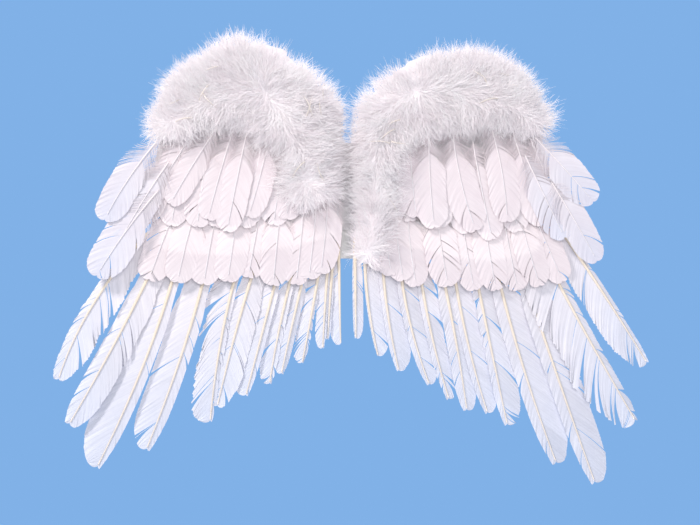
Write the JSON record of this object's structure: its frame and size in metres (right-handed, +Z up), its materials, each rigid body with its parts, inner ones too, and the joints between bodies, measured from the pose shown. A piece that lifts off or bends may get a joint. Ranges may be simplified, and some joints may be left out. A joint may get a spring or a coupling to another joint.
{
  "type": "costume feather wings",
  "caption": "Pair of wire-framed white feather wings that hinge on a padded harness board with elastic shoulder loops.",
  "frame": {"origin": "centre of the pad face that rests on the wearer's back", "axes": "+X to the right wing as seen from the feathered side, +Y out of the pad towards the wearer, +Z up as worn"},
  "size_m": [0.602, 0.1368, 0.4519],
  "materials": {
    "flight_feather": "satin white goose quill feather",
    "covert_feather": "soft white body feather",
    "marabou": "fluffy white down",
    "satin_tape": "white satin ribbon",
    "backing_cloth": "white plain-weave cotton",
    "wadding": "white polyester wadding",
    "webbing": "white woven webbing",
    "elastic": "white ribbed elastic",
    "pad_cloth": "white brushed cloth",
    "foam": "soft foam",
    "board": "cloth-covered stiff board",
    "spring_wire": "drawn steel wire",
    "ferrule_metal": "crimped aluminium",
    "sleeve_plastic": "white plastic tube"
  },
  "bodies": {
    "harness": {"harness_board": "board", "hinge_strip": "webbing", "left_hinge_sleeves": "sleeve_plastic", "left_strap_tabs": "elastic", "pad_cover": "pad_cloth", "pad_foam": "foam", "right_hinge_sleeves": "sleeve_plastic", "right_strap_tabs": "elastic"},
    "left_wing": {"left_core_wadding": "wadding", "left_feather_tape": "satin_tape", "left_flight_01": "flight_feather", "left_flight_02": "flight_feather", "left_flight_03": "flight_feather", "left_flight_04": "flight_feather", "left_flight_05": "flight_feather", "left_flight_06": "flight_feather", "left_flight_07": "flight_feather", "left_flight_08": "flight_feather", "left_flight_09": "flight_feather", "left_flight_10": "flight_feather", "left_flight_11": "flight_feather", "left_flight_12": "flight_feather", "left_flight_13": "flight_feather", "left_fluff_edge": "marabou", "left_fluff_root": "marabou", "left_front_skin": "backing_cloth", "left_greater_coverts": "covert_feather", "left_lesser_coverts": "covert_feather", "left_median_coverts": "covert_feather", "left_outer_coverts": "covert_feather", "left_rear_skin": "backing_cloth", "left_wire_ferrule": "ferrule_metal", "left_wire_frame": "spring_wire"},
    "right_wing": {"right_core_wadding": "wadding", "right_feather_tape": "satin_tape", "right_flight_01": "flight_feather", "right_flight_02": "flight_feather", "right_flight_03": "flight_feather", "right_flight_04": "flight_feather", "right_flight_05": "flight_feather", "right_flight_06": "flight_feather", "right_flight_07": "flight_feather", "right_flight_08": "flight_feather", "right_flight_09": "flight_feather", "right_flight_10": "flight_feather", "right_flight_11": "flight_feather", "right_flight_12": "flight_feather", "right_fluff_edge": "marabou", "right_fluff_root": "marabou", "right_front_skin": "backing_cloth", "right_greater_coverts": "covert_feather", "right_lesser_coverts": "covert_feather", "right_median_coverts": "covert_feather", "right_outer_coverts": "covert_feather", "right_rear_skin": "backing_cloth", "right_wire_ferrule": "ferrule_metal", "right_wire_frame": "spring_wire"},
    "left_shoulder_loop": {"left_strap": "elastic"},
    "right_shoulder_loop": {"right_strap": "elastic"}
  },
  "joints": [
    {"name": "left_wing_fold", "type": "hinge", "parent": "harness", "child": "left_wing", "pos_m": [-0.01, -0.0154, 0], "axis": [0, 0, 1], "range_deg": [-5, 70], "deforming": ["left_fluff_edge", "left_fluff_root"]},
    {"name": "left_loop_swing", "type": "hinge", "parent": "harness", "child": "left_shoulder_loop", "pos_m": [-0.041, -0.005, 0], "axis": [0, 0, 1], "range_deg": [0, 60]},
    {"name": "right_wing_fold", "type": "hinge", "parent": "harness", "child": "right_wing", "pos_m": [0.01, -0.0154, 0], "axis": [0, 0, 1], "range_deg": [-70, 5], "deforming": ["right_fluff_edge", "right_fluff_root"]},
    {"name": "right_loop_swing", "type": "hinge", "parent": "harness", "child": "right_shoulder_loop", "pos_m": [0.041, -0.005, 0], "axis": [0, 0, 1], "range_deg": [-60, 0]}
  ]
}
